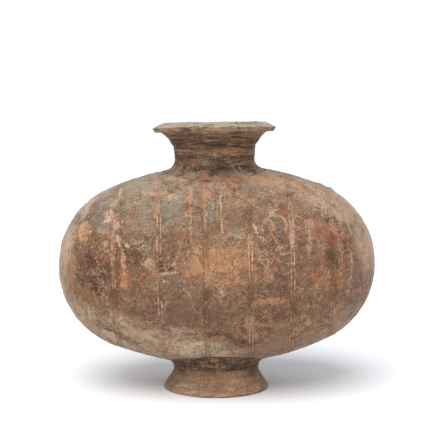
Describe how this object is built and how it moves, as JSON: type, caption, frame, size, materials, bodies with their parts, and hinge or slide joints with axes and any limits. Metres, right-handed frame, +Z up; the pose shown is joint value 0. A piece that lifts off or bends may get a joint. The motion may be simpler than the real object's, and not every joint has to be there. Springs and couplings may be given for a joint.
{
  "type": "cocoon jar",
  "caption": "Hollow ovoid earthenware jar lying on its side, with incised bands, a short flared neck with a bevelled rim on top and a splayed ring foot, for storing liquid.",
  "frame": {"origin": "centre of the ring foot's base, on the surface that the jar stands on", "axes": "+Z up, +X along the body's length to the right as seen from the front, -Y towards the viewer"},
  "size_m": [0.32, 0.201, 0.2689],
  "materials": {
    "body_clay": "matt low-fired earthenware with worn cold-painted lines and burial earth",
    "neck_clay": "matt earthenware with throwing lines",
    "foot_clay": "matt turned earthenware",
    "luting_clay": "matt smoothed clay"
  },
  "bodies": {
    "root": {"left_body_half": "body_clay", "right_body_half": "body_clay", "seam_coil": "luting_clay", "neck_and_mouth": "neck_clay", "neck_luting_coil": "luting_clay", "foot_ring": "foot_clay", "foot_luting_coil": "luting_clay"}
  },
  "joints": []
}
